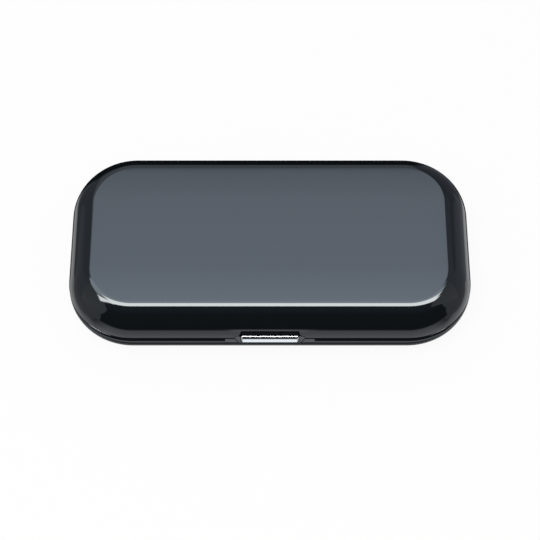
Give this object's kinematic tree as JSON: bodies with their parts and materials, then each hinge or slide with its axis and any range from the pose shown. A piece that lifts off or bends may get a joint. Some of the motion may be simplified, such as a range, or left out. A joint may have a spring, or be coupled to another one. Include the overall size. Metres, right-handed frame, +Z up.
{
  "type": "hinged carrying case",
  "caption": "Small glossy hinged hard case with a push-bar latch, inner frames and fitted foam.",
  "frame": {"origin": "centre of the underside, where the closed case rests", "axes": "+X to the right along the length, +Y to the rear with the hinges, +Z up; the latch faces -Y"},
  "size_m": [0.17, 0.0914, 0.0272],
  "materials": {
    "gloss_shell": "high-gloss black moulding",
    "matt_moulding": "fine-grained black moulding",
    "foam": "closed-cell foam, cut face",
    "chrome": "polished plating",
    "steel": "plain zinc-plated steel"
  },
  "bodies": {
    "base": {"base_shell": "gloss_shell", "base_frame": "matt_moulding", "base_foam": "foam", "latch_housing": "gloss_shell", "latch_cover": "steel", "latch_screws": "steel", "base_frame_screws": "steel", "hinge_pin_left": "steel", "hinge_pin_right": "steel", "latch_spring_left": "steel", "latch_spring_right": "steel"},
    "lid": {"lid_shell": "gloss_shell", "lid_frame": "matt_moulding", "lid_foam": "foam", "lid_hook": "steel", "lid_hook_screws": "steel", "lid_frame_screws": "steel"},
    "button": {"latch_button": "chrome", "latch_slide": "matt_moulding", "button_screws": "steel"}
  },
  "joints": [
    {"name": "lid_hinge", "type": "hinge", "parent": "base", "child": "lid", "pos_m": [0, 0.0439, 0.01367], "axis": [-1, 0, 0], "range_deg": [0, 120]},
    {"name": "button_press", "type": "slide", "parent": "base", "child": "button", "axis": [0, 1, 0], "range_m": [0, 0.0015], "stiffness_N_per_m": 800, "springref_m": -0.001, "deforming": ["latch_spring_left", "latch_spring_right"]}
  ]
}
